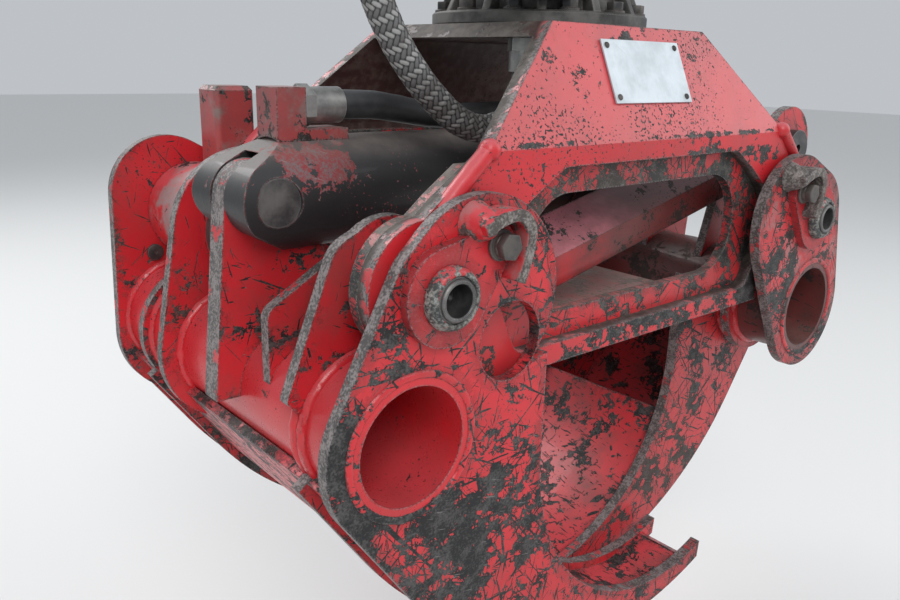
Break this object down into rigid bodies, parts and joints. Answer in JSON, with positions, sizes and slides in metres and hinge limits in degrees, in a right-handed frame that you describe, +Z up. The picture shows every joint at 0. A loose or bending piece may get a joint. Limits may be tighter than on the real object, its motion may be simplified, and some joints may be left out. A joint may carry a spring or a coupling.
{
  "type": "timber grapple with rotator",
  "caption": "Hanging timber grapple: a folded steel frame under a rotator, a wide forked claw and a narrow claw closed by a level cylinder and tied by a link.",
  "frame": {"origin": "centre of the hanger's top bore, where the grapple hangs on its crane", "axes": "+Z up, +X along the jaw from the wide claw to the narrow one, which is also the top bore's axis, +Y across the jaw, away from the side with the nameplate"},
  "size_m": [0.681, 0.422, 0.9716],
  "materials": {
    "red_paint": "worn gloss",
    "dark_cast": "greasy satin",
    "dark_steel": "worn",
    "bare_steel": "worn",
    "worn_black": "worn satin",
    "hose_rubber": "worn matte",
    "chrome_rod": "polished"
  },
  "bodies": {
    "hanger": {"hanger": "dark_steel"},
    "rotator": {"rotator_housing": "dark_cast", "swing_pin": "bare_steel"},
    "frame": {"rotor": "dark_cast", "rotor_bolts": "bare_steel", "frame_saddle": "red_paint", "frame_near_liner": "red_paint", "frame_far_liner": "red_paint", "frame_floor": "red_paint", "frame_hose_post": "red_paint", "rotor_hose": "hose_rubber", "rotor_hose_fittings": "bare_steel", "left_near_boss": "red_paint", "left_far_boss": "red_paint", "right_near_boss": "red_paint", "right_far_boss": "red_paint"},
    "left_arm": {"left_plate_near_outer": "red_paint", "left_plate_near_inner": "red_paint", "left_plate_far_inner": "red_paint", "left_plate_far_outer": "red_paint", "left_tine_far_inner": "red_paint", "left_near_tine_skins": "red_paint", "left_far_tine_skins": "red_paint", "left_back_plate": "red_paint", "left_link_lever": "red_paint", "left_cylinder_lug": "red_paint", "left_near_pin": "bare_steel", "left_far_pin": "bare_steel", "left_cylinder_pin": "bare_steel", "left_link_pin": "bare_steel", "left_cross_tube": "red_paint", "left_pin_flag": "red_paint", "left_bolt_guard": "red_paint"},
    "right_arm": {"right_plate_near_outer": "red_paint", "right_plate_near_inner": "red_paint", "right_plate_far_inner": "red_paint", "right_plate_far_outer": "red_paint", "right_claw_cheek": "red_paint", "right_claw_skins": "red_paint", "right_cylinder_lugs": "red_paint", "right_near_pin": "bare_steel", "right_far_pin": "bare_steel", "right_cylinder_pin": "bare_steel", "right_link_pin": "bare_steel", "right_cross_tube": "red_paint", "right_pin_flag": "red_paint", "right_bolt_guard": "red_paint"},
    "arm_link": {"arm_link": "red_paint"},
    "cylinder_barrel": {"cylinder_barrel": "worn_black", "barrel_port_block": "red_paint", "barrel_hose": "hose_rubber", "barrel_hose_fittings": "bare_steel"},
    "cylinder_rod": {"cylinder_rod": "chrome_rod"}
  },
  "joints": [
    {"name": "hanger_swing", "type": "hinge", "parent": "hanger", "child": "rotator", "pos_m": [0, 0, -0.135], "axis": [0, 1, 0], "range_deg": [-35, 35]},
    {"name": "rotator_turn", "type": "hinge", "parent": "rotator", "child": "frame", "pos_m": [0, 0, -0.31], "axis": [0, 0, 1], "continuous": true},
    {"name": "left_arm_open", "type": "hinge", "parent": "frame", "child": "left_arm", "pos_m": [-0.25, 0, -0.56], "axis": [0, 1, 0], "range_deg": [-4, 85]},
    {"name": "right_arm_open", "type": "hinge", "parent": "frame", "child": "right_arm", "pos_m": [0.25, 0, -0.56], "axis": [0, -1, 0], "range_deg": [-4, 85]},
    {"name": "link_turn", "type": "hinge", "parent": "left_arm", "child": "arm_link", "pos_m": [-0.184, -0.078, -0.602], "axis": [0, 1, 0], "range_deg": [-90, 5]},
    {"name": "barrel_turn", "type": "hinge", "parent": "left_arm", "child": "cylinder_barrel", "pos_m": [-0.3, -0.008, -0.513], "axis": [0, 1, 0], "range_deg": [-86, 5]},
    {"name": "rod_retract", "type": "slide", "parent": "cylinder_barrel", "child": "cylinder_rod", "axis": [-1, 0, 0], "range_m": [-0.012, 0.195]}
  ],
  "couplings": [
    {"joint": "right_arm_open", "follows": "left_arm_open", "ratio": 1},
    {"joint": "link_turn", "follows": "left_arm_open", "ratio": -1.05},
    {"joint": "barrel_turn", "follows": "left_arm_open", "ratio": -1},
    {"joint": "rod_retract", "follows": "left_arm_open", "m_per_rad": 0.1225}
  ]
}
